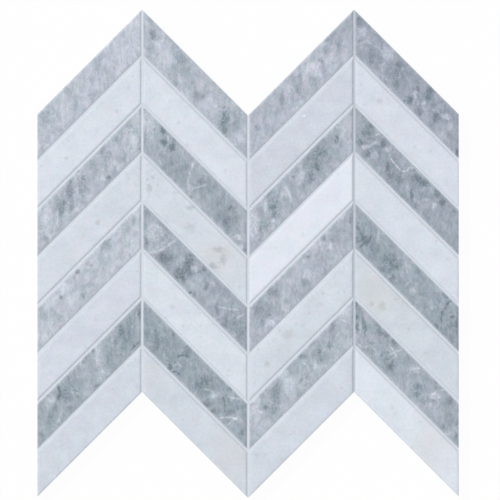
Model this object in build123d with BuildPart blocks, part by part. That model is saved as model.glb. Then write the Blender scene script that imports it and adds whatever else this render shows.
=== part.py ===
"""Marble mosaic tile: chevron strips of grey and white marble on a woven mesh, with grouted joints.

Millimetres. The sheet lies face up on its mesh: X runs across the columns, Y up them and Z out of
the polished face. The origin is under the middle of the sheet, on the surface that it rests on.
"""

import os
from math import cos, radians, tan

from build123d import *

# Marble strips
columns = 4
rows = 8
chevron_angle = 45.0  # slope of a strip across the sheet, in degrees
strip_width = 22.7  # sawn width, square to the long edges
strip_span = 74.7  # from one upright end to the other, along X
strip_thickness = 9.5
arris = 0.6  # eased edge around the polished face

# Joints
joint = 2.0  # gap between two strips, square to their edges
grout_recess = 1.0  # from the polished face down to the grout

# Backing mesh
yarn_width = 1.0
yarn_thickness = 0.25
mesh_opening = 4.0  # clear space between two yarns
mesh_margin = 1.5  # bare stone left around the mesh

# Layout that follows from the sizes above
upright = 1 / cos(radians(chevron_angle))  # turns a size square to a strip into one along Y
column_pitch = strip_span + joint
column_rise = column_pitch * tan(radians(chevron_angle))
strip_height = strip_width * upright
row_pitch = (strip_width + joint) * upright
column_height = rows * row_pitch - joint * upright
sheet_width = columns * column_pitch - joint
sheet_height = column_height + column_rise
mesh_pitch = mesh_opening + yarn_width
mesh_width = sheet_width - 2 * mesh_margin
mesh_height = sheet_height - 2 * mesh_margin * upright
mesh_thickness = 2 * yarn_thickness


def chevron(x):
    """Height of the zigzag at x, above its low points. The first column rises to the right."""
    across = x / column_pitch + columns / 2
    column = min(max(int(across), 0), columns - 1)
    along = across - column
    return column_rise * (along if column % 2 == 0 else 1 - along)


def outline(margin):
    """Corners of the sheet, drawn in by a margin: upright sides, and a zigzag along top and bottom."""
    side = sheet_width / 2 - margin
    bends = [(column - columns / 2) * column_pitch for column in range(1, columns)]
    stops = [-side, *bends, side]
    top = sheet_height / 2 - column_rise - margin * upright
    bottom = -sheet_height / 2 + margin * upright
    upper = [(x, top + chevron(x)) for x in stops]
    lower = [(x, bottom + chevron(x)) for x in stops]
    return upper + lower[::-1]


def strip_corners(column, row):
    """Corners of one strip. Columns count from the left and rows from the top."""
    left = -sheet_width / 2 + column * column_pitch
    right = left + strip_span
    top = sheet_height / 2 - column_rise - row * row_pitch
    upper = [(x, top + chevron(x)) for x in (left, right)]
    lower = [(x, y - strip_height) for x, y in upper]
    return upper + lower[::-1]


os.makedirs("parts", exist_ok=True)

# Mesh, lower layer: the lengthwise yarns, which the sheet rests on
with BuildPart() as lengthwise_yarns:
    with BuildSketch(Plane.XY):
        pairs = int((mesh_width - yarn_width) / 2 / mesh_pitch)
        with GridLocations(mesh_pitch, sheet_height, 2 * pairs + 1, 1):
            Rectangle(yarn_width, sheet_height)
        with BuildLine():
            Polyline(*outline(mesh_margin), close=True)
        make_face(mode=Mode.INTERSECT)
    extrude(amount=yarn_thickness)
lengthwise_yarns.part.label = "mesh_lengthwise_yarns"
export_step(lengthwise_yarns.part, "parts/mesh_lengthwise_yarns.step")

# Mesh, upper layer: the crosswise yarns, against the backs of the strips
with BuildPart() as crosswise_yarns:
    with BuildSketch(Plane.XY.offset(yarn_thickness)):
        pairs = int((mesh_height / 2 - 2 * yarn_width) / mesh_pitch)
        with GridLocations(sheet_width, mesh_pitch, 1, 2 * pairs + 1):
            Rectangle(sheet_width, yarn_width)
        with BuildLine():
            Polyline(*outline(mesh_margin), close=True)
        make_face(mode=Mode.INTERSECT)
    extrude(amount=yarn_thickness)
crosswise_yarns.part.label = "mesh_crosswise_yarns"
export_step(crosswise_yarns.part, "parts/mesh_crosswise_yarns.step")

# Grout: the whole sheet less every strip, so that it fills each joint and closes the tips
with BuildPart() as grout:
    with BuildSketch(Plane.XY.offset(mesh_thickness)):
        with BuildLine():
            Polyline(*outline(0), close=True)
        make_face()
        for column in range(columns):
            for row in range(rows):
                with BuildLine():
                    Polyline(*strip_corners(column, row), close=True)
                make_face(mode=Mode.SUBTRACT)
    extrude(amount=strip_thickness - grout_recess)
grout.part.label = "grout"
export_step(grout.part, "parts/grout.step")

# Marble strips: grey and white rows in turn, grey at the top
for column in range(columns):
    for row in range(rows):
        with BuildPart() as strip:
            with BuildSketch(Plane.XY.offset(mesh_thickness)):
                with BuildLine():
                    Polyline(*strip_corners(column, row), close=True)
                make_face()
            extrude(amount=strip_thickness)
            chamfer(strip.faces().sort_by(Axis.Z)[-1].edges(), length=arris)
        colour = "grey" if row % 2 == 0 else "white"
        strip.part.label = f"{colour}_strip_column_{column + 1}_row_{row + 1}"
        export_step(strip.part, f"parts/{strip.part.label}.step")
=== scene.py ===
"""Looks of the marble mosaic tile: dressed strips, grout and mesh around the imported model. Metres."""

import math
import random

import bpy
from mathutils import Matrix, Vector, noise


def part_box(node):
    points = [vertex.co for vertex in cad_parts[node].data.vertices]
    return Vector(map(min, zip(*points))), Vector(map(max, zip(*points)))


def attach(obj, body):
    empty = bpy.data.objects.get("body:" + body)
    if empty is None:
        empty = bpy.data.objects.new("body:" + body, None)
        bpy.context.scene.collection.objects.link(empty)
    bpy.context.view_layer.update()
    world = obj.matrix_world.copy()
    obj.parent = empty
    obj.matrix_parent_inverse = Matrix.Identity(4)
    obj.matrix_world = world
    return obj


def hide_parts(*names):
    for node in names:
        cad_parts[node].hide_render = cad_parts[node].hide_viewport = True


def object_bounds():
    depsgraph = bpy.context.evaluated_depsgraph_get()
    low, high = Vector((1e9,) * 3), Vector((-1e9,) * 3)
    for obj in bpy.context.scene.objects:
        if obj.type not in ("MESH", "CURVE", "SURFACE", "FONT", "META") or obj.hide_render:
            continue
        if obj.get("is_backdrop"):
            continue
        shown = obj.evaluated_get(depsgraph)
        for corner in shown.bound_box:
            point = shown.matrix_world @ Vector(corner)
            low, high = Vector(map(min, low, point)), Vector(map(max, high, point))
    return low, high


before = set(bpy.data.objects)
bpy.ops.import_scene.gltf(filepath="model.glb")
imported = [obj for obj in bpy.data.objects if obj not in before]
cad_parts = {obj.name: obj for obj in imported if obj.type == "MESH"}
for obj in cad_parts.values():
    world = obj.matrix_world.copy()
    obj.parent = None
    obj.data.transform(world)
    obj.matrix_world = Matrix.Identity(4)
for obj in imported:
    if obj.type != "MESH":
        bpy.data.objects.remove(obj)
cad_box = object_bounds()

MM = 0.001
COLUMNS, ROWS = 4, 8

# Photograph: the side of the square picture and the sheet's middle in pixels, and the size of a pixel
PHOTO_PX = 500
SHEET_MIDDLE_PX = (248.05, 253.7)
PIXEL = 0.7233 * MM

# Strips: a rounded edge, this wide and falling by a share of its width, wavy and rough, with a few chips
ARRIS = 1.9 * MM
ARRIS_DROP = 0.295
ARRIS_STEPS = 6
EDGE_STEP = 1.0 * MM
EDGE_WAVE, EDGE_WAVE_LENGTH = 0.15, 4.0 * MM
EDGE_ROUGH, EDGE_ROUGH_LENGTH = 0.03 * MM, 0.9 * MM
EDGE_WAVE_PLANE, EDGE_ROUGH_PLANE, EDGE_PLANES = 0, 9, 100
CHIP_COUNT = (3, 6)
CHIP_WIDTH_MM = (0.4, 1.0)
CHIP_DEPTH_MM = (0.1, 0.35)
FACE_MARGIN = 0.35 * MM

# Grout: hollow across a joint, a little wavy, and deeper and darkened with painted shade in one upright
# joint
GROUT_STEP = 1.6 * MM
GROUT_ACROSS = 6
GROUT_EDGE_DROP = 0.5 * MM
GROUT_MIDDLE_DROP = 0.8 * MM
GROUT_DEEP_COLUMN = 3
GROUT_DEEP_DROP = 0.12 * MM
GROUT_JOINT_SHADE = 0.36
GROUT_JOINT_SHADE_REACH_MM = (0.5, 1.5)
GROUT_WAVE = 0.06 * MM
GROUT_WAVE_LENGTH = 6.0 * MM
GROUT_WAVE_PLANE = 3.0

# Net: flat yarns, with half their thickness here, that rise and fall about the middle of the mesh
YARN_STEP = 1.67 * MM
YARN_SIDES = 6
YARN_HALF = 0.115 * MM
YARN_LIFT = 0.125 * MM

# Meshes: edges sharper than this stay sharp, points this near the back lie on it, and decimals of a place
SHARP_ANGLE = math.radians(35)
NEAR = 1e-6
CORNER_DECIMALS, YARN_DECIMALS = 7, 6


def strip_name(column, row):
    return f"{'grey' if row % 2 else 'white'}_strip_column_{column}_row_{row}"


def srgb(red, green, blue):
    """A colour written as it shows on screen, 0 to 255, in linear light."""

    def linear(v):
        v /= 255
        return v / 12.92 if v <= 0.04045 else ((v + 0.055) / 1.055) ** 2.4

    return (linear(red), linear(green), linear(blue), 1.0)


def photo_point(x, y):
    """The point of the face that shows at a pixel of the photograph."""
    return Vector(((x - SHEET_MIDDLE_PX[0]) * PIXEL, (SHEET_MIDDLE_PX[1] - y) * PIXEL, 0.0))


class Nodes:
    """Shorthand for a node tree: each call adds a node, feeds it and returns an output."""

    def __init__(self, tree):
        self.tree = tree

    def add(self, kind, inputs, output=0, **settings):
        node = self.tree.nodes.new(kind)
        for name, value in settings.items():
            setattr(node, name, value)
        for key, value in inputs.items():
            self.feed(node.inputs[key], value)
        return node.outputs[output]

    def feed(self, socket, value):
        if isinstance(value, bpy.types.NodeSocket):
            self.tree.links.new(value, socket)
        else:
            socket.default_value = value

    def math(self, operation, a, b=0.0, c=0.0):
        return self.add("ShaderNodeMath", {0: a, 1: b, 2: c}, operation=operation)

    def vector(self, operation, a, b=(0, 0, 0)):
        return self.add("ShaderNodeVectorMath", {0: a, 1: b}, operation=operation)

    def scaled(self, a, factor):
        return self.add("ShaderNodeVectorMath", {0: a, "Scale": factor}, operation="SCALE")

    def length(self, a):
        return self.add("ShaderNodeVectorMath", {0: a}, output="Value", operation="LENGTH")

    def noise(self, at, scale, detail=2.0, rough=0.5, twist=0.0, output=0):
        inputs = {"Vector": at, "Scale": scale, "Detail": detail, "Roughness": rough, "Distortion": twist}
        return self.add("ShaderNodeTexNoise", inputs, output=output)

    def drift(self, at, size, reach):
        """at, pushed about by up to some reach, over waves of a size."""
        push = self.vector("SUBTRACT", self.noise(at, 1 / size, output="Color"), (0.5, 0.5, 0.5))
        return self.vector("ADD", at, self.scaled(push, 2 * reach))

    def step(self, value, low, high, to_low=0.0, to_high=1.0, kind="SMOOTHSTEP"):
        inputs = {0: value, 1: low, 2: high, 3: to_low, 4: to_high}
        return self.add("ShaderNodeMapRange", inputs, interpolation_type=kind)

    def mix(self, amount, a, b, blend="MIX"):
        inputs = {0: amount, 6: a, 7: b}
        return self.add("ShaderNodeMix", inputs, output=2, data_type="RGBA", blend_type=blend)

    def placed(self, at, location, turn, size):
        """at seen from a place: moved to it, turned and measured in sizes."""
        inputs = {"Vector": at, "Location": location, "Rotation": (0, 0, turn), "Scale": size}
        return self.add("ShaderNodeMapping", inputs, vector_type="TEXTURE")

    def ramp(self, value, stops):
        node = self.tree.nodes.new("ShaderNodeValToRGB")
        self.feed(node.inputs[0], value)
        points = node.color_ramp.elements
        while len(points) < len(stops):
            points.new(1.0)
        for point, (place, colour) in zip(points, stops):
            point.position = place
            point.color = colour
        return node.outputs[0]


def new_material(name):
    """A material, its nodes, its shader and the place on the piece in millimetres."""
    material = bpy.data.materials.new(name)
    material.use_nodes = True
    n = Nodes(material.node_tree)
    shader = material.node_tree.nodes["Principled BSDF"]
    place = n.add("ShaderNodeTexCoord", {}, output="Object")
    return material, n, shader, n.scaled(place, 1 / MM)


# Slopes of the surface, as the upward part of its normal: sawn sides, and where the rounded edge starts
SAWN_SLOPE = (0.02, 0.3)
EDGE_SLOPE = (0.15, 0.5)
# How far an edge leans from the upright ends, between none and all of the edge tone on the slanting edges
END_SLANT = (0.2, 0.6)

# Finish: the face has a satin polish with little gloss, and the sawn sides are rough, pale and lined
FACE_GLOSS = 0.2
FACE_ROUGHNESS = (0.44, 0.56)
SAWN_ROUGHNESS = 0.8
SAWN_PALENESS = 0.35
POLISH_SCALE = 0.12
SAW_LINES = (0.15, 0.15, 4.0)
SAW_RELIEF, GRAIN_RELIEF = 2.0, 0.25
STONE_BUMP, GROUT_BUMP, YARN_BUMP = 0.25, 0.4, 0.5
BUMP_HEIGHT = 0.05 * MM
# Middle part of a noise's range, which holds most of its values
NOISE_RANGE = (0.3, 0.7)


def add_bump(n, shader, strength, height):
    bump = n.add("ShaderNodeBump", {"Strength": strength, "Distance": BUMP_HEIGHT, "Height": height})
    n.feed(shader.inputs["Normal"], bump)


def finish_stone(n, shader, place, colour, sawn_tone, grain, edge_detail):
    """Edge tone (paler worn edges with a painted highlight on grey, painted shade on white), sawn sides,
    roughness and relief, which both marbles share.
    """
    normal = n.add("ShaderNodeTexCoord", {}, output="Normal")
    up = n.add("ShaderNodeSeparateXYZ", {0: normal}, output="Z")
    edge = n.math("MULTIPLY", n.step(up, *EDGE_SLOPE), n.step(up, *edge_detail["slope"], 1.0, 0.0))
    # The upright ends may take less of the edge tone than the slanting long edges
    outward = n.vector("NORMALIZE", n.vector("MULTIPLY", normal, (1, 1, 0)))
    slant = n.math("ABSOLUTE", n.add("ShaderNodeSeparateXYZ", {0: outward}, output="Y"))
    edge = n.math("MULTIPLY", edge, n.step(slant, *END_SLANT, edge_detail["ends"], 1.0))
    sawn = n.step(up, *SAWN_SLOPE, 1.0, 0.0)
    # Painted light on the rounded edges: the darker tone on white strips is painted shade, and the paler
    # tone on grey strips is partly wear and partly a painted highlight
    colour = n.mix(n.math("MULTIPLY", edge, edge_detail["share"]), colour, edge_detail["tone"])
    colour = n.mix(n.math("MULTIPLY", sawn, SAWN_PALENESS), colour, sawn_tone)
    n.feed(shader.inputs["Base Color"], colour)
    polish = n.noise(place, POLISH_SCALE, detail=3.0)
    rough = n.step(polish, *NOISE_RANGE, *FACE_ROUGHNESS, "LINEAR")
    rough = n.math("MAXIMUM", rough, n.math("MULTIPLY", sawn, SAWN_ROUGHNESS))
    n.feed(shader.inputs["Roughness"], rough)
    saw = n.noise(n.vector("MULTIPLY", place, SAW_LINES), 1.0)
    fine = n.math("MULTIPLY", grain, GRAIN_RELIEF)
    relief = n.math("MULTIPLY_ADD", n.math("MULTIPLY", saw, sawn), SAW_RELIEF, fine)
    add_bump(n, shader, STONE_BUMP, relief)
    n.feed(shader.inputs["Specular IOR Level"], FACE_GLOSS)


# How far a mark reaches past its written size, where it starts to fade, and how ragged its edge is
MARK_FADE = 1.45
MARK_CORE = 0.2
MARK_RAGGED = 1.6
RAGGED_SCALE = 0.55

# Waves that bend marks, each with its size and reach in millimetres
FRAY_WAVES = [(7.0, 1.2), (1.8, 1.1)]
VEIN_WAVE = (3.0, 0.8)
CRACKLE_WAVE = (1.5, 0.6)

# Noise that thins marks: its scale, the part of its range that counts, and the least and most cover left
BROKEN = {"scale": 0.4, "range": (0.36, 0.54), "cover": (0.45, 1.0)}
CRACKLE = {"scale": 1.1, "range": (0.36, 0.64), "cover": (0.45, 1.3)}

# Lifts of marks and veins are written in percent, and these say how strongly they stand out
PERCENT = 0.01
MARK_CONTRAST = 1.75
VEIN_CONTRAST = 0.75
VEIN_SPREAD = 1.25


def patch(x, y, wide, tall, lift, turn=0, tint=None):
    """A soft mark at a pixel, its size in pixels, turned in degrees: lighter where lift is positive."""
    strokes = [((x, y), (wide, tall), turn)]
    return {"strokes": strokes, "lift": PERCENT * lift, "tint": tint, "frayed": True}


def pale(x, y, wide, tall, lift, turn=0):
    return patch(x, y, wide, tall, lift, turn)


def dark(x, y, wide, tall, depth, turn=0):
    return patch(x, y, wide, tall, -depth, turn)


def stain(x, y, wide, tall, strength, tint):
    return patch(x, y, wide, tall, strength, 0, tint)


def vein(width, lift, *points):
    """A thin line through pixels."""
    strokes = []
    for (x0, y0), (x1, y1) in zip(points, points[1:]):
        run = math.hypot(x1 - x0, y1 - y0)
        turn = math.degrees(math.atan2(y0 - y1, x1 - x0))
        strokes.append((((x0 + x1) / 2, (y0 + y1) / 2), (run + width, VEIN_SPREAD * width), turn))
    return {"strokes": strokes, "lift": VEIN_CONTRAST * PERCENT * lift, "tint": None, "frayed": False}


def mark_covers(n, place, marks):
    """How much each mark covers: patches fray into the stone and crackle, and veins break off."""
    flat = n.vector("MULTIPLY", place, (1, 1, 0))
    frayed = flat
    for wave in FRAY_WAVES:
        frayed = n.drift(frayed, *wave)
    frayed = n.vector("MULTIPLY", frayed, (1, 1, 0))
    wavy = n.vector("MULTIPLY", n.drift(flat, *VEIN_WAVE), (1, 1, 0))
    ragged = n.math("SUBTRACT", n.noise(flat, RAGGED_SCALE, detail=4.0, rough=0.65), 0.5)
    broken = n.step(n.noise(flat, BROKEN["scale"]), *BROKEN["range"], *BROKEN["cover"])
    crackle = n.noise(n.drift(flat, *CRACKLE_WAVE), CRACKLE["scale"], detail=3.0, rough=0.6)
    crackle = n.step(crackle, *CRACKLE["range"], *CRACKLE["cover"])
    for mark in marks:
        cover = None
        for at, size, turn in mark["strokes"]:
            half = [MARK_FADE * side / 2 * PIXEL / MM for side in size]
            at_mm = photo_point(*at) / MM
            source = frayed if mark["frayed"] else wavy
            away = n.length(n.placed(source, at_mm, math.radians(turn), (half[0], half[1], 1.0)))
            if mark["frayed"] or mark["lift"] < 0:
                away = n.math("MULTIPLY_ADD", ragged, MARK_RAGGED, away)
            stroke = n.step(away, MARK_CORE, 1.0, 1.0, 0.0)
            cover = stroke if cover is None else n.math("MAXIMUM", cover, stroke)
        yield mark, n.math("MULTIPLY", cover, crackle if mark["frayed"] else broken)


# Named tones of the stone
DEEP, DARK, MIDDLE = srgb(117, 129, 140), srgb(147, 157, 169), srgb(172, 180, 192)
PALE, CHALK = srgb(198, 203, 216), srgb(220, 225, 238)
WHITE, SNOW, ASH = srgb(214, 220, 231), srgb(230, 234, 245), srgb(197, 203, 214)
SAND, SPARK, SMOKE = srgb(188, 190, 189), srgb(250, 252, 255), srgb(166, 171, 178)
BLUSH = srgb(214, 212, 211)

# Edge tones: tone, how much of it, slopes over which it fades into the face, and its share on upright ends.
# On grey the paler tone is partly worn edges and partly a painted highlight; on white the darker tone is
# painted shade
GREY_EDGE_WEAR_AND_HIGHLIGHT = {"tone": CHALK, "share": 0.21, "slope": (0.965, 0.9995), "ends": 0.0}
WHITE_EDGE_SHADE = {"tone": srgb(172, 178, 188), "share": 0.18, "slope": (0.93, 0.995), "ends": 1.0}

# Tints that drift through the stone in pairs, each with a shift of its noise
TEAL, LILAC = srgb(250, 255, 255), srgb(255, 252, 254)
CLEAR, HAZE = srgb(255, 255, 255), srgb(255, 255, 250)
TINT_PAIRS = [((40, 7, 3), LILAC, TEAL), ((71, 5, 137), CLEAR, HAZE)]
TINT_RANGE = (0.36, 0.64)
TINT_LEAN = 0.08
TINT_SIZE = 7.0
GREY_TINT, WHITE_TINT = 1.0, 0.7

# Each strip is cut from a place of its own in the stone, up to this many millimetres away
STONE_REACH = 900

# Layers of the stones' patterns, from clouds down to grain: sizes in millimetres across, along and through
GREY_LAYERS = [
    {"size": (13.0, 19.0, 13.0), "detail": 2.0, "rough": 0.5, "weight": 0.4},
    {"size": (3.6, 6.0, 4.0), "detail": 4.0, "rough": 0.62, "weight": 0.75},
    {"size": (1.2, 5.5, 3.0), "detail": 3.0, "rough": 0.55, "weight": 0.38},
    {"size": (0.9, 0.9, 0.9), "detail": 2.0, "rough": 0.6, "weight": 0.27},
]
WHITE_LAYERS = [
    {"size": (12.0, 12.0, 12.0), "detail": 3.0, "rough": 0.55, "weight": 0.7},
    {"size": (2.0, 2.0, 2.0), "detail": 3.0, "rough": 0.6, "weight": 0.6},
    {"size": (0.8, 0.8, 0.8), "detail": 2.0, "rough": 0.6, "weight": 0.45},
]

# Slow waves that bend a stone's pattern, each with its size and reach in millimetres
GREY_WAVE = (10.0, 3.5)
SPECK_WAVE = (2.5, 1.0)

# Small features: shift and scale of their noise, the part of its range that counts, and the change of tone
CURL = {"shift": (211, 97, 31), "scale": 0.12, "width": 0.03, "lift": 0.14}
CURL_ZONE = {"shift": (17, 171, 59), "scale": 0.07, "range": (0.48, 0.62)}
FLECK = {"shift": (53, 11, 149), "scale": 0.42, "range": (0.6, 0.74), "lift": -0.12}
SPECK = {"scale": 0.16, "range": (0.03, 0.26), "rarity": 0.55, "lift": -0.4}

# Tones from the darkest to the palest stone, evenly spread
GREY_RAMP = [(0.0, DEEP), (0.25, DARK), (0.5, MIDDLE), (0.75, PALE), (1.0, CHALK)]
WHITE_RAMP = [(0.0, ASH), (0.5, WHITE), (1.0, SNOW)]

# Grout and yarn: tones and roughness at the two ends of their noise
GROUT_RAMP = [(0.3, srgb(204, 210, 218)), (0.7, srgb(218, 224, 232))]
GROUT_ROUGHNESS = (0.85, 0.95)
SAND_SCALE, DAMP_SCALE = 3.0, 0.08
YARN_RAMP = [(0.25, srgb(206, 209, 208)), (0.75, srgb(244, 246, 245))]
YARN_ROUGHNESS = (0.45, 0.65)
FIBRE_ALONG, FIBRE_ACROSS = 0.3, 14.0


def tinted(n, at, colour, strength, teal):
    """colour with slow drifts of tint. teal, from -1 to 1, leans each pair to its second tint."""
    low, high = (limit - TINT_LEAN * teal for limit in TINT_RANGE)
    for shift, first, second in TINT_PAIRS:
        drift = n.noise(n.vector("ADD", at, shift), 1 / TINT_SIZE, detail=3.0, rough=0.6)
        tint = n.mix(n.step(drift, low, high), first, second)
        colour = n.mix(strength, colour, tint, "MULTIPLY")
    return colour


def layered(n, at, turn, layers, start):
    """Sum of noise layers about a starting value, and the finest of them by itself."""
    value = start
    for layer in layers:
        seen = n.placed(at, (0, 0, 0), turn, layer["size"])
        field = n.noise(seen, 1.0, layer["detail"], layer["rough"])
        value = n.math("MULTIPLY_ADD", n.math("SUBTRACT", field, 0.5), layer["weight"], value)
    return value, field


def own_place(n, place, seed):
    """Where in the stone a strip is cut."""
    draw = random.Random(seed)
    return n.vector("ADD", place, [draw.uniform(-STONE_REACH, STONE_REACH) for _ in range(3)])


def grey_marble(name, seed, tone, lean, teal, marks):
    material, n, shader, place = new_material(name)
    own = own_place(n, place, seed)
    bent = n.drift(own, *GREY_WAVE)
    value, grain = layered(n, bent, math.radians(lean), GREY_LAYERS, tone)
    # Thin pale curls, in some places only
    curl_at = n.vector("ADD", bent, CURL["shift"])
    curl = n.noise(curl_at, CURL["scale"], detail=3.0, rough=0.55, twist=0.6)
    from_line = n.math("ABSOLUTE", n.math("SUBTRACT", curl, 0.5))
    curl = n.step(from_line, 0.0, CURL["width"], 1.0, 0.0)
    zone = n.noise(n.vector("ADD", own, CURL_ZONE["shift"]), CURL_ZONE["scale"])
    curl = n.math("MULTIPLY", curl, n.step(zone, *CURL_ZONE["range"]))
    value = n.math("MULTIPLY_ADD", curl, CURL["lift"], value)
    # Small dark flecks
    fleck = n.noise(n.vector("ADD", bent, FLECK["shift"]), FLECK["scale"])
    value = n.math("MULTIPLY_ADD", n.step(fleck, *FLECK["range"]), FLECK["lift"], value)
    for mark, cover in mark_covers(n, place, marks):
        value = n.math("MULTIPLY_ADD", cover, MARK_CONTRAST * mark["lift"], value)
    colour = tinted(n, bent, n.ramp(value, GREY_RAMP), GREY_TINT, teal)
    finish_stone(n, shader, place, colour, CHALK, grain, GREY_EDGE_WEAR_AND_HIGHLIGHT)
    return material


def white_marble(name, seed, tone, teal, marks):
    material, n, shader, place = new_material(name)
    own = own_place(n, place, seed)
    value, sugar = layered(n, own, 0.0, WHITE_LAYERS, tone)
    # Soft grey specks, a few millimetres apart
    cell = {"Vector": n.drift(own, *SPECK_WAVE), "Scale": SPECK["scale"], "Randomness": 1.0}
    near = n.add("ShaderNodeTexVoronoi", cell)
    luck = n.add("ShaderNodeSeparateColor", {0: n.add("ShaderNodeTexVoronoi", cell, output="Color")})
    there = n.step(luck, SPECK["rarity"], 1.0)
    speck = n.math("MULTIPLY", n.step(near, *SPECK["range"], 1.0, 0.0), there)
    value = n.math("MULTIPLY_ADD", speck, SPECK["lift"], value)
    colour = tinted(n, own, n.ramp(value, WHITE_RAMP), WHITE_TINT, teal)
    for mark, cover in mark_covers(n, place, marks):
        colour = n.mix(n.math("MULTIPLY", cover, mark["lift"]), colour, mark["tint"])
    finish_stone(n, shader, place, colour, SNOW, sugar, WHITE_EDGE_SHADE)
    return material


def grout_material():
    material, n, shader, place = new_material("grout")
    sand = n.noise(place, SAND_SCALE, detail=3.0, rough=0.7)
    damp = n.noise(place, DAMP_SCALE, detail=3.0)
    colour = n.ramp(n.math("MULTIPLY", n.math("ADD", sand, damp), 0.5), GROUT_RAMP)
    # Painted shade: the deep upright joint's grout is darkened towards the stone's dark tone near the
    # joint's middle
    across = n.add("ShaderNodeSeparateXYZ", {0: place}, output="X")
    deep_joint = (GROUT_DEEP_COLUMN - COLUMNS / 2) * COLUMN_PITCH / MM
    away = n.math("ABSOLUTE", n.math("SUBTRACT", across, deep_joint))
    colour = n.mix(n.step(away, *GROUT_JOINT_SHADE_REACH_MM, GROUT_JOINT_SHADE, 0.0), colour, DARK)
    n.feed(shader.inputs["Base Color"], colour)
    n.feed(shader.inputs["Roughness"], n.step(sand, *NOISE_RANGE, *GROUT_ROUGHNESS, "LINEAR"))
    add_bump(n, shader, GROUT_BUMP, sand)
    return material


def yarn_material(name, along):
    """Glass-fibre yarn with its fibres running along an axis, 0 for X and 1 for Y."""
    material, n, shader, place = new_material(name)
    squeeze = [FIBRE_ACROSS] * 3
    squeeze[along] = FIBRE_ALONG
    fibre = n.noise(n.vector("MULTIPLY", place, squeeze), 1.0, detail=3.0, rough=0.6)
    n.feed(shader.inputs["Base Color"], n.ramp(fibre, YARN_RAMP))
    n.feed(shader.inputs["Roughness"], n.step(fibre, *NOISE_RANGE, *YARN_ROUGHNESS, "LINEAR"))
    add_bump(n, shader, YARN_BUMP, fibre)
    return material


def new_piece(name, points, faces, material):
    """A piece from its points and faces, smooth but for its sharp edges."""
    mesh = bpy.data.meshes.new(name)
    mesh.from_pydata(points, [], faces)
    mesh.validate()
    mesh.shade_smooth()
    mesh.set_sharp_from_angle(angle=SHARP_ANGLE)
    mesh.materials.append(material)
    piece = bpy.data.objects.new(name, mesh)
    bpy.context.scene.collection.objects.link(piece)
    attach(piece, "root")
    return piece


def inward_moves(corners):
    """For each corner of a convex outline, counter-clockwise, its move as every side is drawn in by one."""
    moves = []
    count = len(corners)
    for i in range(count):
        before = (corners[i] - corners[i - 1]).normalized()
        after = (corners[(i + 1) % count] - corners[i]).normalized()
        inward_before = Vector((-before.y, before.x))
        inward_after = Vector((-after.y, after.x))
        moves.append((inward_before + inward_after) / (1 + inward_before.dot(inward_after)))
    return moves


def node_outline(node):
    """Corners of a strip's back, counter-clockwise, with its lowest and highest z."""
    low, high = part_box(node)
    back = {
        (round(v.co.x, CORNER_DECIMALS), round(v.co.y, CORNER_DECIMALS))
        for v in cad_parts[node].data.vertices
        if v.co.z < low.z + NEAR
    }
    middle = Vector(((low.x + high.x) / 2, (low.y + high.y) / 2))
    corners = [Vector(p) for p in back]
    corners.sort(key=lambda p: math.atan2(p.y - middle.y, p.x - middle.x))
    return corners, low.z, high.z


def make_strip(node, material, seed):
    corners, bottom, top = node_outline(node)
    draw = random.Random(seed)
    # Places around the edge: the side, the share of it and the way walked, then the wear at each
    places = []
    walked = 0.0
    for i, corner in enumerate(corners):
        side = (corners[(i + 1) % len(corners)] - corner).length
        steps = max(2, round(side / EDGE_STEP))
        places += [(i, k / steps, walked + side * k / steps) for k in range(steps)]
        walked += side
    chips = [
        (draw.uniform(0, walked), draw.uniform(*CHIP_WIDTH_MM) * MM, draw.uniform(*CHIP_DEPTH_MM) * MM)
        for _ in range(draw.randint(*CHIP_COUNT))
    ]
    lift = draw.uniform(0, EDGE_PLANES)
    edge_detail = []
    for _, _, s in places:
        size = ARRIS * (1 + EDGE_WAVE * noise.noise((s / EDGE_WAVE_LENGTH, lift, EDGE_WAVE_PLANE)))
        size += EDGE_ROUGH * noise.noise((s / EDGE_ROUGH_LENGTH, lift, EDGE_ROUGH_PLANE))
        for at, wide, deep in chips:
            off = min(abs(s - at), walked - abs(s - at))
            size += deep * math.exp(-((off / wide) ** 2))
        edge_detail.append(size)

    points, faces = [], []
    moves = inward_moves(corners)

    def ring(depths, heights):
        start = len(points)
        for (i, share, _), depth, height in zip(places, depths, heights):
            after = (i + 1) % len(corners)
            spot = (corners[i] + moves[i] * depth).lerp(corners[after] + moves[after] * depth, share)
            points.append((spot.x, spot.y, height))
        return start

    count = len(places)
    rings = [ring([0.0] * count, [bottom] * count)]
    for k in range(ARRIS_STEPS + 1):
        turn = math.pi / 2 * k / ARRIS_STEPS
        depths = [size * (1 - math.cos(turn)) for size in edge_detail]
        heights = [top - ARRIS_DROP * size * (1 - math.sin(turn)) for size in edge_detail]
        rings.append(ring(depths, heights))
    rings.append(ring([size + FACE_MARGIN for size in edge_detail], [top] * count))
    for lower, upper in zip(rings, rings[1:]):
        for k in range(count):
            after = (k + 1) % count
            faces.append((lower + k, lower + after, upper + after, upper + k))
    faces.append([rings[-1] + k for k in range(count)])
    faces.append([rings[0] + k for k in reversed(range(count))])
    piece = new_piece(node + "_stone", points, faces, material)
    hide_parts(node)


# Layout of the sheet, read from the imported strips
first_low, first_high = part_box(strip_name(1, 1))
second_low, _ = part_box(strip_name(2, 1))
under_low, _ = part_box(strip_name(1, 2))
STRIP_SPAN = first_high.x - first_low.x
COLUMN_PITCH = second_low.x - first_low.x
JOINT = COLUMN_PITCH - STRIP_SPAN
ROW_PITCH = first_low.y - under_low.y
STRIP_HEIGHT = (first_high.y - first_low.y) - STRIP_SPAN
JOINT_HEIGHT = ROW_PITCH - STRIP_HEIGHT
FACE_Z = first_high.z
BACK_Z = first_low.z
SHEET_WIDTH = COLUMNS * COLUMN_PITCH - JOINT
COLUMN_HEIGHT = ROWS * ROW_PITCH - JOINT_HEIGHT
SHEET_HEIGHT = COLUMN_HEIGHT + COLUMN_PITCH


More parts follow.
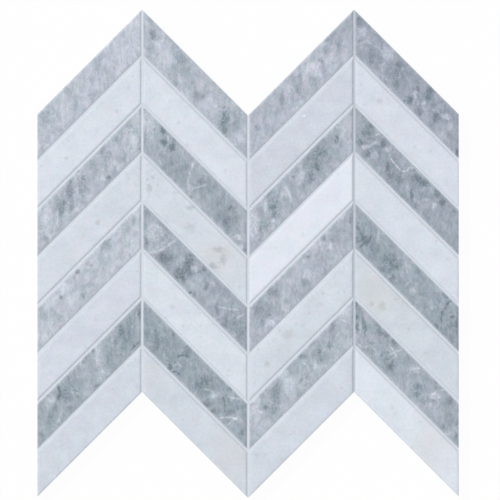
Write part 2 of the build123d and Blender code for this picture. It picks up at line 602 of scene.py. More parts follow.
def chevron(x):
    """Height of the zigzag at x above its low points: the columns rise and fall at 45 degrees in turn."""
    across = (x / COLUMN_PITCH + COLUMNS / 2) % 2
    return COLUMN_PITCH * (across if across < 1 else 2 - across)


def make_grout(material):
    """Lattice of joints. Straightened by the zigzag it is a plain grid, so it is built as one."""

    def stops(count, pitch, solid, gap, start):
        """Places along one direction, each with its share of the way across a joint, or None outside."""
        found = []
        for i in range(count):
            at = start + i * pitch
            steps = max(2, round(solid / GROUT_STEP))
            found += [(at + solid * k / steps, None) for k in range(steps)]
            if i < count - 1:
                found += [
                    (at + solid + gap * k / GROUT_ACROSS, k / GROUT_ACROSS) for k in range(GROUT_ACROSS)
                ]
        found.append((start + (count - 1) * pitch + solid, None))
        return found

    across = stops(COLUMNS, COLUMN_PITCH, STRIP_SPAN, JOINT, -SHEET_WIDTH / 2)
    up = stops(ROWS, ROW_PITCH, STRIP_HEIGHT, JOINT_HEIGHT, -SHEET_HEIGHT / 2)

    def in_joint(found, k):
        """Whether the cell from place k to the next lies in a joint."""
        return found[k][1] is not None

    def drop(share):
        """How far below the face the grout lies, across a joint."""
        hollow = 1 - (2 * share - 1) ** 2
        return GROUT_EDGE_DROP + (GROUT_MIDDLE_DROP - GROUT_EDGE_DROP) * hollow

    points, faces, index = [], [], {}

    def share_at(found, k):
        """Place k's share of the way across its joint, or None if it touches none."""
        if in_joint(found, k):
            return found[k][1]
        return 1.0 if k and in_joint(found, k - 1) else None

    def corner(i, j, upper):
        key = (i, j, upper)
        if key not in index:
            x, v = across[i][0], up[j][0]
            shares = [s for s in (share_at(across, i), share_at(up, j)) if s is not None]
            height = BACK_Z
            if upper:
                low = max(drop(s) for s in shares)
                column = round(x / COLUMN_PITCH + COLUMNS / 2)
                if share_at(across, i) is not None and column == GROUT_DEEP_COLUMN:
                    low += GROUT_DEEP_DROP
                wave_at = (x / GROUT_WAVE_LENGTH, v / GROUT_WAVE_LENGTH, GROUT_WAVE_PLANE)
                wave = noise.noise(wave_at)
                height = FACE_Z - low + GROUT_WAVE * wave
            index[key] = len(points)
            points.append((x, v + chevron(x), height))
        return index[key]

    kept = {
        (i, j)
        for i in range(len(across) - 1)
        for j in range(len(up) - 1)
        if in_joint(across, i) or in_joint(up, j)
    }
    for i, j in sorted(kept):
        loop = [(i, j), (i + 1, j), (i + 1, j + 1), (i, j + 1)]
        faces.append([corner(*p, True) for p in loop])
        faces.append([corner(*p, False) for p in reversed(loop)])
        neighbours = [(i, j - 1), (i + 1, j), (i, j + 1), (i - 1, j)]
        for k, beside in enumerate(neighbours):
            if beside not in kept:
                a, b = loop[k], loop[(k + 1) % 4]
                faces.append([corner(*a, False), corner(*b, False), corner(*b, True), corner(*a, True)])
    piece = new_piece("grout_lattice", points, faces, material)
    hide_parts("grout")


def yarn_boxes(node):
    """The lowest and highest corner of each yarn in a node."""
    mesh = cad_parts[node].data
    seen = {}
    # Corners of neighbouring faces lie in one spot, so the first one there stands for the rest
    spots = [tuple(round(c, YARN_DECIMALS) for c in vertex.co) for vertex in mesh.vertices]
    joined = [seen.setdefault(spot, i) for i, spot in enumerate(spots)]

    def first(i):
        while joined[i] != i:
            joined[i] = joined[joined[i]]
            i = joined[i]
        return i

    for edge in mesh.edges:
        start, end = edge.vertices
        joined[first(start)] = first(end)
    yarns = {}
    for i, vertex in enumerate(mesh.vertices):
        yarns.setdefault(first(i), []).append(vertex.co)
    return [
        [[pick(spot[axis] for spot in yarn) for axis in range(3)] for pick in (min, max)]
        for yarn in yarns.values()
    ]


def make_net(node, along, material):
    """One set of the net's yarns, along axis 0 or 1: each goes over and under those that it crosses."""
    across = 1 - along
    boxes = yarn_boxes(node)
    lines = sorted({round((low[across] + high[across]) / 2, YARN_DECIMALS) for low, high in boxes})
    pitch = lines[1] - lines[0]
    points, faces = [], []
    for low, high in boxes:
        middle, half_width = (high[across] + low[across]) / 2, (high[across] - low[across]) / 2
        length = high[along] - low[along]
        steps = max(2, round(length / YARN_STEP))
        # Neighbours rise and fall in turn, and the two sets of yarns against each other
        phase = math.pi * (round(middle / pitch) + along)
        start = len(points)
        for k in range(steps + 1):
            run = low[along] + length * k / steps
            lift = BACK_Z / 2 + YARN_LIFT * math.cos(math.pi * run / pitch + phase)
            for side in range(YARN_SIDES):
                turn = 2 * math.pi * side / YARN_SIDES
                point = [0.0, 0.0, lift + YARN_HALF * math.sin(turn)]
                point[along] = run
                point[across] = middle + half_width * math.cos(turn)
                points.append(point)
        rings = [[start + k * YARN_SIDES + side for side in range(YARN_SIDES)] for k in range(steps + 1)]
        skin = [rings[0][::-1], rings[-1]]
        for near, far in zip(rings, rings[1:]):
            for side in range(YARN_SIDES):
                after = (side + 1) % YARN_SIDES
                skin.append([near[side], near[after], far[after], far[side]])
        faces += [face[::-1] for face in skin] if along else skin
    piece = new_piece(node + "_woven", points, faces, material)
    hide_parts(node)


# Grey strips by column and row: tone, lean of the pattern in degrees, and how teal they are
GREY_TONES = {
    (1, 1): ("palest", 6, -0.2),
    (1, 3): ("pale", -4, 0.3),
    (1, 5): ("palest", -8, 0.3),
    (1, 7): ("dim", 4, 1.0),
    (2, 1): ("pale", 3, 0.2),
    (2, 3): ("dim", 5, 0.3),
    (2, 5): ("dim", -3, 0.1),
    (2, 7): ("deep", 8, 1.0),
    (3, 1): ("pale", -12, -0.5),
    (3, 3): ("soft", -6, 0.0),
    (3, 5): ("middle", 2, 0.0),
    (3, 7): ("fair", -8, 0.5),
    (4, 1): ("dark", 10, -1.0),
    (4, 3): ("deep", -6, -0.2),
    (4, 5): ("dark", 12, 0.5),
    (4, 7): ("dim", 5, 0.3),
}
GREY_LEVELS = {
    "palest": 0.683,
    "pale": 0.582,
    "fair": 0.545,
    "middle": 0.533,
    "soft": 0.508,
    "dim": 0.432,
    "dark": 0.378,
    "deep": 0.355,
}

# White strips by column and row: how teal they are, and their level where it isn't the usual one
WHITE_TEAL = {
    **dict.fromkeys([(1, 6), (3, 2), (4, 2)], -0.7),
    **dict.fromkeys([(2, 4), (2, 8), (3, 6), (4, 8)], 0.7),
    **dict.fromkeys([(2, 6), (4, 6)], 1.0),
}
WHITE_USUAL = 0.5
WHITE_LEVELS = {
    (3, 4): 0.95,
    (4, 8): 0.72,
    (3, 2): 0.32,
    **dict.fromkeys([(1, 2), (2, 2), (2, 6)], 0.64),
    **dict.fromkeys([(4, 2), (4, 4)], 0.55),
    **dict.fromkeys([(1, 6), (3, 6)], 0.44),
    **dict.fromkeys([(1, 8), (2, 8), (3, 8), (4, 6)], 0.38),
}

# Marks that show in each strip, by column and row, in pixels of the photograph: see patch, stain and vein
STONE_MARKS = {
    (1, 1): [
        pale(133, 28, 16, 30, 8), dark(97, 62, 10, 16, 12), dark(108, 72, 6, 5, 8),
        dark(48, 118, 20, 14, 8), dark(68, 92, 10, 20, 8), dark(75, 106, 6, 12, 10),
        pale(110, 46, 12, 10, 6), pale(62, 112, 6, 12, 6), dark(58, 134, 16, 10, 4, 45),
        dark(45, 125, 18, 36, 8), dark(95, 78, 14, 14, 7),
    ],
    (2, 1): [
        dark(153, 35, 7, 10, 28), dark(150, 50, 6, 16, 12), pale(158, 47, 5, 9, 8),
        pale(166, 57, 19, 22, 11), dark(181, 59, 10, 30, 14, 30), pale(179, 78, 5, 10, 14),
        dark(175, 83, 8, 6, 10), dark(196, 94, 8, 14, 16), dark(203, 96, 4, 6, 18), dark(190, 88, 4, 6, 10),
        pale(210, 105, 14, 24, 10), dark(224, 122, 9, 32, 28, -4), dark(237, 121, 8, 16, 10),
        dark(240, 108, 12, 8, 8), pale(239, 138, 12, 16, 10), pale(147, 23, 6, 12, 8),
        dark(158, 56, 10, 10, 8), dark(178, 74, 10, 10, 7),
    ],
    (3, 1): [
        dark(345, 26, 14, 18, 7), dark(334, 33, 6, 10, 12), dark(327, 40, 6, 6, 16),
        dark(339, 46, 5, 8, 15), dark(327, 50, 6, 10, 12), pale(332, 58, 10, 12, 6),
        pale(312, 67, 18, 16, 14), dark(321, 60, 5, 6, 15), dark(323, 68, 4, 16, 10),
        dark(314, 79, 7, 6, 10), vein(3, -14, (293, 76), (295, 84), (298, 93)), dark(300, 79, 4, 14, 10),
        pale(306, 82, 8, 20, 8), pale(290, 97, 4, 16, 8), dark(282, 100, 6, 20, 16),
        dark(304, 98, 6, 8, 10), dark(257, 128, 5, 6, 14), dark(267, 127, 4, 8, 8),
        dark(273, 132, 3, 5, 12), pale(258, 119, 8, 16, 7), pale(285, 88, 9, 14, 7),
        dark(332, 38, 14, 14, 6), dark(300, 90, 8, 18, 6),
    ],
    (4, 1): [
        dark(360, 20, 8, 10, 12), pale(363, 31, 8, 10, 17), pale(359, 37, 4, 6, 12),
        vein(1.8, 18, (358, 44), (366, 41), (374, 45), (381, 50), (386, 55)), pale(388, 54, 14, 12, 14),
        dark(373, 56, 11, 24, 10, 20), dark(372, 63, 6, 4, 10), dark(395, 72, 22, 20, 10),
        dark(400, 64, 10, 6, 10), dark(395, 85, 6, 8, 14), dark(417, 89, 6, 6, 26), dark(430, 91, 9, 7, 22),
        dark(428, 97, 7, 6, 18), dark(410, 100, 6, 9, 26), dark(405, 101, 4, 5, 18),
        pale(415, 95, 3, 16, 16), pale(424, 103, 5, 6, 22), dark(433, 106, 6, 6, 20),
        dark(442, 103, 10, 6, 10), dark(419, 110, 6, 10, 14), pale(447, 117, 12, 6, 17, -10),
        dark(437, 117, 10, 10, 17), pale(450, 126, 5, 10, 12), pale(443, 135, 5, 12, 12),
        dark(457, 153, 4, 8, 20), pale(366, 37, 20, 28, 7), dark(432, 99, 24, 16, 7),
    ],
    (1, 3): [
        pale(136, 118, 10, 14, 10), pale(133, 141, 8, 22, 14), dark(127, 121, 8, 6, 10),
        dark(117, 140, 5, 7, 17), dark(105, 152, 12, 14, 12), pale(112, 164, 8, 8, 8),
        dark(124, 160, 4, 14, 13), dark(109, 178, 6, 6, 22), pale(103, 178, 5, 7, 15),
        dark(93, 165, 10, 22, 8), dark(78, 171, 5, 4, 14), dark(83, 178, 5, 4, 14),
        dark(83, 187, 12, 26, 15), dark(70, 190, 8, 24, 20), dark(62, 206, 10, 14, 18),
        dark(72, 208, 6, 8, 18), pale(77, 189, 4, 14, 12), pale(76, 210, 8, 4, 16, 20),
        pale(45, 215, 14, 24, 10), pale(52, 200, 6, 8, 6), dark(61, 213, 5, 10, 18),
        dark(47, 238, 6, 8, 10), dark(70, 200, 24, 24, 5), pale(45, 224, 10, 24, 6),
        vein(1.6, 18, (79, 178), (84, 183), (90, 188)), pale(118, 167, 4, 6, 12), pale(110, 168, 4, 5, 10),
        pale(50, 236, 6, 5, 12), vein(1.5, 14, (56, 211), (58, 219), (57, 226)),
    ],
    (2, 3): [
        pale(148, 120, 17, 28, 17), dark(145, 139, 6, 12, 6), dark(163, 129, 6, 12, 38),
        dark(164, 143, 6, 8, 30), dark(172, 147, 6, 10, 32), dark(175, 139, 4, 6, 25),
        pale(168, 138, 3, 6, 20), pale(171, 142, 3, 5, 15), dark(180, 165, 24, 20, 6),
        vein(2.6, 20, (194, 162), (190, 171), (188, 180), (189, 190)),
        vein(1.8, 22, (193, 188), (200, 187), (206, 185)), dark(200, 181, 8, 6, 16),
        pale(190, 193, 12, 12, 7), dark(191, 197, 3, 4, 20), dark(224, 195, 5, 8, 14),
        dark(231, 208, 5, 8, 14), dark(225, 221, 5, 6, 17), dark(226, 218, 24, 34, 6),
        pale(239, 237, 8, 8, 22), pale(242, 247, 5, 6, 14), dark(244, 252, 6, 8, 18),
        pale(150, 139, 12, 24, 7), dark(208, 187, 16, 24, 9), dark(228, 212, 20, 28, 5),
    ],
    (3, 3): [
        pale(346, 126, 12, 26, 7), pale(349, 145, 8, 16, 8), dark(337, 139, 5, 10, 28),
        dark(335, 123, 5, 5, 16), dark(322, 148, 22, 28, 8), dark(317, 167, 5, 9, 26),
        dark(310, 178, 12, 12, 16), pale(300, 178, 8, 16, 13), dark(293, 177, 3, 3, 16),
        vein(2.2, 20, (284, 187), (289, 192), (291, 201)), pale(286, 192, 8, 10, 12),
        dark(270, 195, 8, 16, 10), dark(273, 207, 8, 6, 18), dark(275, 215, 10, 10, 14),
        pale(266, 206, 4, 16, 19), pale(273, 220, 5, 5, 24), dark(266, 225, 8, 8, 14),
        pale(253, 222, 12, 36, 18), dark(262, 232, 6, 12, 6), dark(317, 162, 26, 34, 14),
        dark(273, 205, 15, 16, 16),
    ],
    (4, 3): [
        dark(364, 114, 8, 5, 22, -40), dark(372, 126, 10, 8, 20), dark(368, 133, 8, 6, 16),
        vein(1.3, 20, (357, 139), (361, 145), (366, 152)),
        vein(1.3, 18, (372, 137), (379, 134), (384, 138)),
        vein(1.3, 20, (385, 147), (389, 153), (392, 160)),
        vein(1.3, -20, (362, 132), (366, 138), (373, 139)), dark(360, 142, 6, 8, 20),
        pale(366, 146, 10, 4, 22, 10), pale(374, 143, 8, 3, 20, 10), pale(378, 133, 6, 6, 13),
        dark(368, 153, 7, 8, 22), dark(383, 144, 8, 8, 12), dark(398, 143, 6, 8, 16),
        pale(388, 150, 10, 8, 15), pale(376, 155, 6, 8, 10),
        vein(1.6, 36, (391, 159), (395, 164), (401, 171), (406, 172), (409, 168), (414, 168), (420, 174)),
        dark(388, 168, 5, 12, 20), dark(390, 176, 7, 8, 20), pale(402, 163, 7, 9, 5),
        dark(400, 180, 8, 8, 14), dark(420, 180, 18, 6, 16, -40), dark(427, 184, 8, 6, 16),
        pale(408, 190, 5, 16, 15), dark(412, 196, 3, 14, 20), dark(437, 192, 7, 9, 24),
        dark(442, 202, 7, 8, 24), pale(434, 206, 5, 10, 22), pale(426, 200, 8, 4, 10),
        dark(416, 206, 6, 6, 16), dark(421, 195, 9, 7, 8), pale(438, 215, 3, 16, 8),
        dark(399, 168, 16, 18, 8), dark(414, 184, 18, 16, 6), pale(444, 222, 8, 16, 8),
    ],
    (1, 5): [
        pale(136, 212, 8, 14, 10), dark(133, 220, 6, 8, 11), dark(127, 230, 8, 14, 10),
        dark(106, 244, 12, 14, 15), dark(103, 259, 10, 16, 8), pale(105, 256, 4, 7, 10),
        dark(78, 272, 5, 4, 28), dark(91, 265, 3, 3, 16), dark(75, 278, 5, 5, 12), dark(61, 297, 4, 5, 24),
        dark(83, 295, 4, 4, 20), dark(78, 285, 6, 8, 8), pale(62, 287, 12, 10, 8), pale(72, 300, 10, 12, 6),
        pale(47, 303, 10, 8, 6), dark(52, 318, 24, 16, 6), dark(40, 345, 4, 5, 12),
    ],
    (2, 5): [
        pale(155, 232, 18, 20, 10), vein(2, 13, (149, 229), (155, 224), (161, 228), (162, 236)),
        pale(158, 248, 22, 8, 14, 20), vein(2.4, 20, (148, 253), (158, 252), (166, 247), (175, 240)),
        dark(147, 241, 4, 10, 17), dark(166, 227, 7, 18, 14, 42), dark(166, 258, 16, 13, 16),
        dark(162, 259, 6, 8, 14), dark(189, 262, 10, 22, 26, -12), dark(180, 273, 11, 13, 24),
        dark(184, 280, 5, 6, 22), pale(194, 269, 8, 6, 24), dark(204, 269, 4, 6, 20),
        dark(199, 272, 4, 3, 20), pale(196, 283, 16, 14, 6), dark(206, 286, 6, 10, 19),
        pale(213, 284, 7, 8, 16), dark(190, 293, 3, 4, 40), dark(182, 277, 4, 2, 30, 30),
        dark(217, 310, 5, 14, 15), vein(1.6, 24, (217, 306), (228, 309), (238, 310)),
        vein(1.6, 20, (236, 318), (245, 314)), dark(240, 331, 14, 20, 12), dark(225, 324, 8, 12, 8),
        pale(208, 306, 8, 12, 7), pale(152, 230, 18, 28, 9), dark(189, 272, 12, 16, 12),
        dark(230, 319, 15, 22, 13), pale(219, 299, 14, 12, 6),
    ],
    (3, 5): [
        dark(351, 218, 4, 22, 17), dark(350, 235, 4, 8, 10), dark(323, 238, 6, 6, 17),
        dark(332, 240, 5, 5, 10), pale(331, 246, 3, 14, 15), pale(312, 248, 14, 12, 10),
        dark(308, 257, 4, 4, 14), dark(322, 256, 3, 10, 10), pale(308, 275, 8, 11, 10),
        pale(320, 270, 10, 14, 5), dark(304, 283, 6, 10, 15), pale(298, 285, 5, 10, 8),
        dark(273, 291, 14, 14, 17), pale(283, 300, 5, 18, 10), pale(286, 308, 8, 12, 12),
        dark(262, 310, 16, 22, 10), pale(271, 322, 8, 7, 14), pale(266, 328, 3, 12, 10),
        dark(263, 324, 3, 12, 12), dark(259, 318, 22, 24, 11), dark(340, 240, 20, 26, 6),
        pale(299, 272, 15, 30, 6),
    ],
    (4, 5): [
        dark(357, 240, 4, 8, 20), vein(1.6, -20, (355, 224), (360, 231), (362, 236)),
        vein(1.7, -40, (360, 247), (364, 243), (369, 241), (371, 236)),
        vein(1.5, -30, (361, 241), (366, 236)), dark(366, 240, 12, 10, 14), pale(378, 236, 3, 12, 15),
        dark(375, 252, 16, 16, 6), dark(390, 258, 12, 12, 14), dark(396, 265, 17, 11, 15),
        dark(384, 269, 8, 8, 10), dark(392, 278, 9, 8, 12), pale(389, 276, 4, 5, 22),
        pale(406, 268, 20, 10, 9, 40), vein(1.8, 20, (405, 286), (411, 281)), pale(413, 291, 6, 7, 18),
        dark(445, 295, 4, 6, 20, 45), vein(1.6, -36, (451, 300), (446, 305)),
        vein(1.3, -26, (446, 307), (444, 309)), dark(443, 313, 4, 5, 26),
        vein(1.2, -22, (441, 308), (442, 312)), vein(1.4, -30, (442, 315), (441, 323)),
        dark(438, 327, 3, 5, 24), dark(436, 324, 3, 3, 14), dark(444, 310, 9, 22, 6, -20),
        pale(441, 306, 3, 5, 16), dark(453, 317, 5, 3, 26), pale(446, 325, 8, 10, 7),
        dark(457, 326, 3, 22, 20), pale(433, 308, 3, 4, 14), dark(393, 272, 12, 12, 12),
        dark(450, 325, 14, 24, 10),
    ],
    (1, 7): [
        dark(139, 312, 4, 16, 24), pale(132, 326, 3, 4, 18), dark(121, 332, 7, 12, 14),
        dark(126, 338, 6, 8, 10), vein(1.6, -30, (131, 350), (136, 345), (140, 341)),
        dark(115, 346, 14, 14, 6), pale(98, 356, 8, 26, 15), dark(93, 350, 3, 4, 20),
        dark(85, 358, 10, 12, 8), dark(108, 358, 6, 16, 6), pale(103, 375, 12, 14, 11),
        dark(97, 386, 6, 4, 16), dark(108, 378, 4, 4, 14),
        vein(1.5, -22, (67, 375), (70, 383), (74, 389), (79, 392)),
        vein(1.4, -18, (74, 389), (75, 395), (80, 398)), vein(2.4, -26, (58, 385), (60, 393), (57, 402)),
        dark(62, 395, 10, 18, 12), dark(68, 395, 10, 12, 12), pale(88, 390, 8, 18, 8),
        pale(50, 400, 8, 14, 15, -30), dark(72, 408, 7, 8, 10), dark(54, 408, 6, 10, 12),
        vein(1.5, 18, (56, 423), (63, 417)), dark(125, 334, 22, 28, 11), dark(51, 419, 12, 14, 13),
        pale(118, 346, 5, 5, 10), pale(127, 337, 3, 6, 12), pale(112, 340, 3, 4, 10),
    ],
    (2, 7): [
        dark(156, 340, 8, 24, 15), dark(165, 346, 12, 18, 5), dark(173, 335, 3, 6, 13),
        vein(1.6, -42, (177, 357), (183, 355), (189, 357)), dark(185, 353, 9, 6, 16),
        dark(187, 347, 4, 5, 17), vein(1.5, 26, (173, 367), (177, 363), (181, 366)),
        dark(170, 368, 5, 6, 36), vein(1.4, -30, (172, 372), (177, 372), (180, 375)),
        pale(195, 361, 14, 13, 6), dark(198, 385, 12, 10, 15), dark(206, 380, 9, 9, 10),
        vein(1.6, 26, (204, 389), (213, 391)), pale(213, 395, 6, 8, 18),
        vein(1.4, -24, (223, 397), (225, 404), (225, 412)), dark(206, 405, 10, 7, 15),
        vein(1.7, 28, (229, 397), (241, 399)), dark(230, 388, 6, 6, 14), dark(240, 407, 11, 6, 17),
        dark(214, 411, 8, 7, 13), dark(231, 413, 10, 6, 14),
        vein(1.4, 20, (228, 425), (234, 419), (238, 417)),
        vein(1.6, 28, (219, 418), (230, 417), (240, 420)), pale(228, 426, 10, 8, 9),
        dark(241, 433, 6, 8, 19), dark(146, 332, 10, 22, 10), dark(208, 386, 18, 22, 8),
        pale(232, 416, 14, 8, 9),
    ],
    (3, 7): [
        pale(346, 315, 12, 16, 14), vein(1.5, 15, (340, 319), (350, 323)), dark(333, 326, 6, 26, 15),
        dark(330, 345, 7, 8, 20), dark(319, 351, 4, 4, 22), dark(312, 341, 10, 12, 8),
        dark(321, 346, 14, 12, 8), dark(325, 358, 18, 13, 10), dark(302, 356, 8, 6, 17),
        vein(1.5, 22, (303, 363), (307, 365), (308, 371)), pale(315, 365, 5, 10, 11),
        dark(307, 376, 4, 9, 10), pale(290, 385, 14, 14, 14), pale(283, 372, 10, 8, 10),
        dark(301, 381, 4, 5, 17), dark(306, 384, 4, 4, 15), dark(276, 395, 13, 26, 21),
        dark(273, 411, 8, 11, 14), dark(266, 408, 5, 6, 25), pale(256, 405, 10, 16, 14),
        pale(260, 412, 4, 4, 15), dark(282, 418, 4, 5, 15), pale(256, 416, 14, 26, 9),
        pale(285, 378, 14, 20, 7), dark(315, 359, 16, 14, 7), pale(315, 335, 12, 12, 5),
    ],
    (4, 7): [
        dark(357, 327, 4, 8, 40), dark(356, 317, 4, 6, 26), dark(356, 305, 5, 10, 24),
        dark(364, 325, 4, 24, 22, 10), pale(361, 322, 3, 20, 10), dark(374, 325, 12, 18, 6),
        dark(379, 332, 10, 9, 20), dark(388, 334, 8, 7, 14), pale(378, 355, 6, 8, 16),
        vein(1.5, 22, (357, 343), (363, 348), (370, 345), (377, 352)), dark(372, 343, 5, 4, 14),
        dark(395, 343, 11, 9, 17), dark(389, 359, 18, 13, 18, -40), dark(390, 367, 11, 10, 16),
        vein(1.4, 24, (408, 376), (410, 371), (415, 368), (422, 369)),
        vein(1.4, 20, (388, 364), (391, 360), (395, 356)), vein(2, 24, (389, 356), (395, 352), (402, 350)),
        vein(1.6, 20, (391, 347), (395, 352), (396, 359)), pale(415, 370, 14, 9, 15),
        dark(418, 387, 6, 10, 15), dark(416, 395, 8, 6, 15), dark(437, 381, 4, 5, 20),
        vein(1.5, 20, (430, 397), (437, 391), (446, 389)),
        vein(1.5, 17, (430, 397), (436, 399), (441, 396)), pale(436, 394, 12, 8, 6),
        pale(410, 385, 8, 10, 7), dark(449, 400, 9, 12, 14), dark(425, 400, 8, 8, 8),
        pale(432, 405, 12, 6, 7), dark(450, 420, 10, 12, 9), dark(442, 427, 6, 6, 14),
        pale(448, 433, 6, 6, 16), dark(456, 437, 4, 8, 24), pale(440, 396, 18, 14, 7),
        pale(366, 318, 10, 18, 6), dark(420, 391, 13, 17, 8),
    ],
    (1, 2): [
        stain(117, 112, 4, 4, 87, ASH), stain(66, 158, 4, 4, 87, ASH), stain(128, 88, 3, 3, 58, ASH),
        stain(133, 76, 3, 3, 51, ASH), stain(73, 135, 7, 8, 20, SAND), stain(97, 130, 3, 4, 43, ASH),
    ],
    (2, 2): [
        stain(178, 123, 4, 4, 65, ASH), stain(217, 144, 3, 3, 43, ASH), stain(225, 171, 4, 4, 51, ASH),
    ],
    (3, 2): [
        stain(304, 116, 1.8, 1.8, 80, SPARK), stain(311, 125, 1.8, 1.8, 40, SPARK),
        stain(273, 136, 4, 4, 51, ASH), stain(280, 148, 4, 3, 43, ASH), stain(336, 70, 4, 4, 36, ASH),
    ],
    (4, 2): [stain(380, 101, 6, 5, 87, ASH), stain(372, 98, 5, 7, 43, ASH), stain(364, 104, 3, 3, 51, ASH)],
    (1, 4): [
        stain(128, 178, 4, 4, 51, ASH), stain(136, 185, 4, 4, 51, ASH), stain(98, 223, 5, 6, 75, SAND),
        stain(83, 236, 3, 4, 51, ASH),
    ],
    (2, 4): [
        stain(153, 178, 5, 5, 51, SMOKE), stain(147, 179, 4, 4, 36, SMOKE),
        stain(149, 188, 7, 9, 55, SMOKE), stain(149, 195, 4, 4, 58, ASH), stain(190, 208, 8, 5, 51, SMOKE),
        stain(183, 216, 4, 4, 43, ASH), stain(190, 227, 12, 8, 29, SMOKE),
        stain(218, 256, 36, 30, 20, SAND), stain(219, 250, 14, 7, 35, SAND),
        stain(218, 249, 11, 6, 72, SMOKE), stain(223, 259, 7, 11, 72, SMOKE),
        stain(226, 253, 8, 12, 25, SAND), stain(221, 257, 52, 52, 26, BLUSH),
        stain(213, 267, 13, 9, 40, SAND), stain(212, 266, 9, 6, 80, SMOKE), stain(240, 287, 4, 6, 58, ASH),
    ],
    (3, 4): [stain(303, 234, 4, 5, 43, ASH)],
    (4, 4): [stain(448, 259, 4, 4, 43, ASH), stain(386, 191, 3, 3, 36, ASH)],
    (1, 6): [stain(110, 289, 4, 4, 43, ASH), stain(96, 319, 4, 4, 43, ASH)],
    (2, 6): [stain(172, 307, 5, 5, 58, ASH), stain(229, 370, 5, 4, 51, ASH)],
    (3, 6): [
        stain(347, 268, 1.8, 1.8, 80, SPARK), stain(323, 293, 5, 5, 80, ASH),
        stain(338, 293, 3, 3, 65, ASH), stain(321, 304, 6, 5, 58, ASH), stain(334, 278, 3, 4, 51, ASH),
        stain(309, 308, 3, 3, 51, ASH), stain(302, 326, 4, 5, 65, ASH), stain(296, 324, 3, 4, 51, ASH),
        stain(288, 334, 12, 9, 60, SAND), stain(279, 330, 5, 4, 35, SAND), stain(274, 340, 4, 4, 51, ASH),
        stain(267, 364, 6, 6, 60, SAND),
    ],
    (4, 6): [
        stain(378, 290, 56, 50, 35, BLUSH), stain(385, 292, 50, 44, 8, SAND),
        stain(382, 306, 9, 9, 70, SAND), stain(371, 304, 5, 6, 75, SAND), stain(397, 299, 6, 6, 50, SAND),
        stain(403, 301, 4, 4, 40, SAND), stain(418, 319, 3, 3, 51, ASH),
    ],
    (1, 8): [stain(123, 368, 5, 4, 51, ASH), stain(62, 446, 3, 3, 72, ASH)],
    (2, 8): [stain(232, 455, 46, 64, 35, BLUSH), stain(150, 373, 20, 26, 35, BLUSH)],
    (3, 8): [
        stain(294, 432, 4, 4, 43, ASH), stain(270, 438, 3, 3, 43, ASH), stain(329, 403, 4, 5, 43, ASH),
    ],
    (4, 8): [
        stain(392, 408, 5, 6, 35, SAND), stain(363, 378, 26, 44, 50, SNOW),
        stain(432, 448, 46, 64, 35, BLUSH),
    ],
}

for column in range(1, COLUMNS + 1):
    for row in range(1, ROWS + 1):
        node = strip_name(column, row)
        seed = 100 * column + row
        marks = STONE_MARKS.get((column, row), [])
        if row % 2:
            tone, lean, teal = GREY_TONES[column, row]
            material = grey_marble(node, seed, GREY_LEVELS[tone], lean, teal, marks)
        else:
            teal = WHITE_TEAL.get((column, row), 0.0)
            level = WHITE_LEVELS.get((column, row), WHITE_USUAL)
            material = white_marble(node, seed, level, teal, marks)
        make_strip(node, material, seed)

make_grout(grout_material())
make_net("mesh_lengthwise_yarns", 1, yarn_material("lengthwise_yarn", 1))
make_net("mesh_crosswise_yarns", 0, yarn_material("crosswise_yarn", 0))


def seen_directly(n):
    """1 for what the camera sees straight, in gloss or through glass, and 0 for light on the object."""
    paths = n.tree.nodes.new("ShaderNodeLightPath").outputs
    seen = n.math("MAXIMUM", paths["Is Camera Ray"], paths["Is Glossy Ray"])
    return n.math("MAXIMUM", seen, paths["Is Transmission Ray"])


# Floor: pale, nearly white to the camera, and it keeps the sheet's shadow
FLOOR_REACH = 6.0
FLOOR_Z = -0.05 * MM
FLOOR_GLOW = 0.95
FLOOR_COLOUR = (0.86, 0.86, 0.86, 1.0)
FLOOR_ROUGHNESS = 0.9
FLOOR_GLOSS = 0.1
PLAIN_WHITE = (1, 1, 1, 1)
floor_mesh = bpy.data.meshes.new("floor")
square = ((-1, -1), (1, -1), (1, 1), (-1, 1))
floor_corners = [(x * FLOOR_REACH, y * FLOOR_REACH, FLOOR_Z) for x, y in square]
floor_mesh.from_pydata(floor_corners, [], [(0, 1, 2, 3)])
floor = bpy.data.objects.new("floor", floor_mesh)
bpy.context.scene.collection.objects.link(floor)
floor_material = bpy.data.materials.new("floor")
floor_material.use_nodes = True
fn = Nodes(floor_material.node_tree)
floor_shader = floor_material.node_tree.nodes["Principled BSDF"]
fn.feed(floor_shader.inputs["Base Color"], FLOOR_COLOUR)
fn.feed(floor_shader.inputs["Roughness"], FLOOR_ROUGHNESS)
fn.feed(floor_shader.inputs["Specular IOR Level"], FLOOR_GLOSS)
glow = fn.add("ShaderNodeEmission", {"Color": PLAIN_WHITE, "Strength": 1.0})
glow_share = fn.math("MULTIPLY", seen_directly(fn), FLOOR_GLOW)
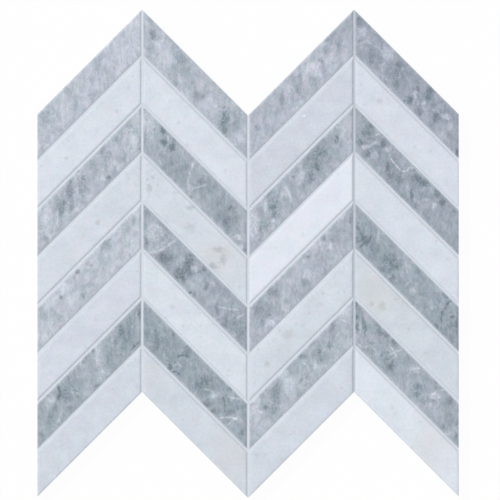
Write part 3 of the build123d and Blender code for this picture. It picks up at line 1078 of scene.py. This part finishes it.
floor_surface = fn.add("ShaderNodeMixShader", {0: glow_share, 1: floor_shader.outputs[0], 2: glow})
fn.feed(floor_material.node_tree.nodes["Material Output"].inputs["Surface"], floor_surface)
floor_mesh.materials.append(floor_material)
floor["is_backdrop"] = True

# Light: a soft lamp from the upper left of the face, and an even sky
SKY_LEVEL = 0.67
KEY_POWER = 1.55
KEY_SOFTNESS = math.radians(10)
KEY_HEIGHT, KEY_TURN = math.radians(42), math.radians(148)
KEY_DISTANCE = 3.0
world = bpy.data.worlds.new("studio")
bpy.context.scene.world = world
world.use_nodes = True
wn = Nodes(world.node_tree)
sky = world.node_tree.nodes["Background"]
wn.feed(sky.inputs["Color"], PLAIN_WHITE)
wn.feed(sky.inputs["Strength"], wn.step(seen_directly(wn), 0.0, 1.0, SKY_LEVEL, 1.0, "LINEAR"))

lamp_data = bpy.data.lights.new("key", "SUN")
lamp_data.energy = KEY_POWER
lamp_data.angle = KEY_SOFTNESS
lamp = bpy.data.objects.new("key", lamp_data)
bpy.context.scene.collection.objects.link(lamp)
towards = Vector((
    math.cos(KEY_HEIGHT) * math.cos(KEY_TURN),
    math.cos(KEY_HEIGHT) * math.sin(KEY_TURN),
    math.sin(KEY_HEIGHT),
))
lamp.rotation_euler = towards.to_track_quat("Z", "Y").to_euler()
lamp.location = towards * KEY_DISTANCE

# Camera: straight down on the face, with a long lens
LENS, SENSOR = 200.0, 36.0
VIEW_REACH = 50.0
camera_data = bpy.data.cameras.new("camera")
camera_data.lens = LENS
camera_data.sensor_width = SENSOR
camera_data.clip_end = VIEW_REACH
camera = bpy.data.objects.new("camera", camera_data)
bpy.context.scene.collection.objects.link(camera)
middle = photo_point(PHOTO_PX / 2, PHOTO_PX / 2)
camera.location = (middle.x, middle.y, FACE_Z + PHOTO_PX * PIXEL * LENS / SENSOR)
bpy.context.scene.camera = camera
bpy.context.scene.view_settings.view_transform = "Standard"

boxes = {"cad": cad_box, "visual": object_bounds()}
{name: [list(corner) for corner in box] for name, box in boxes.items()}
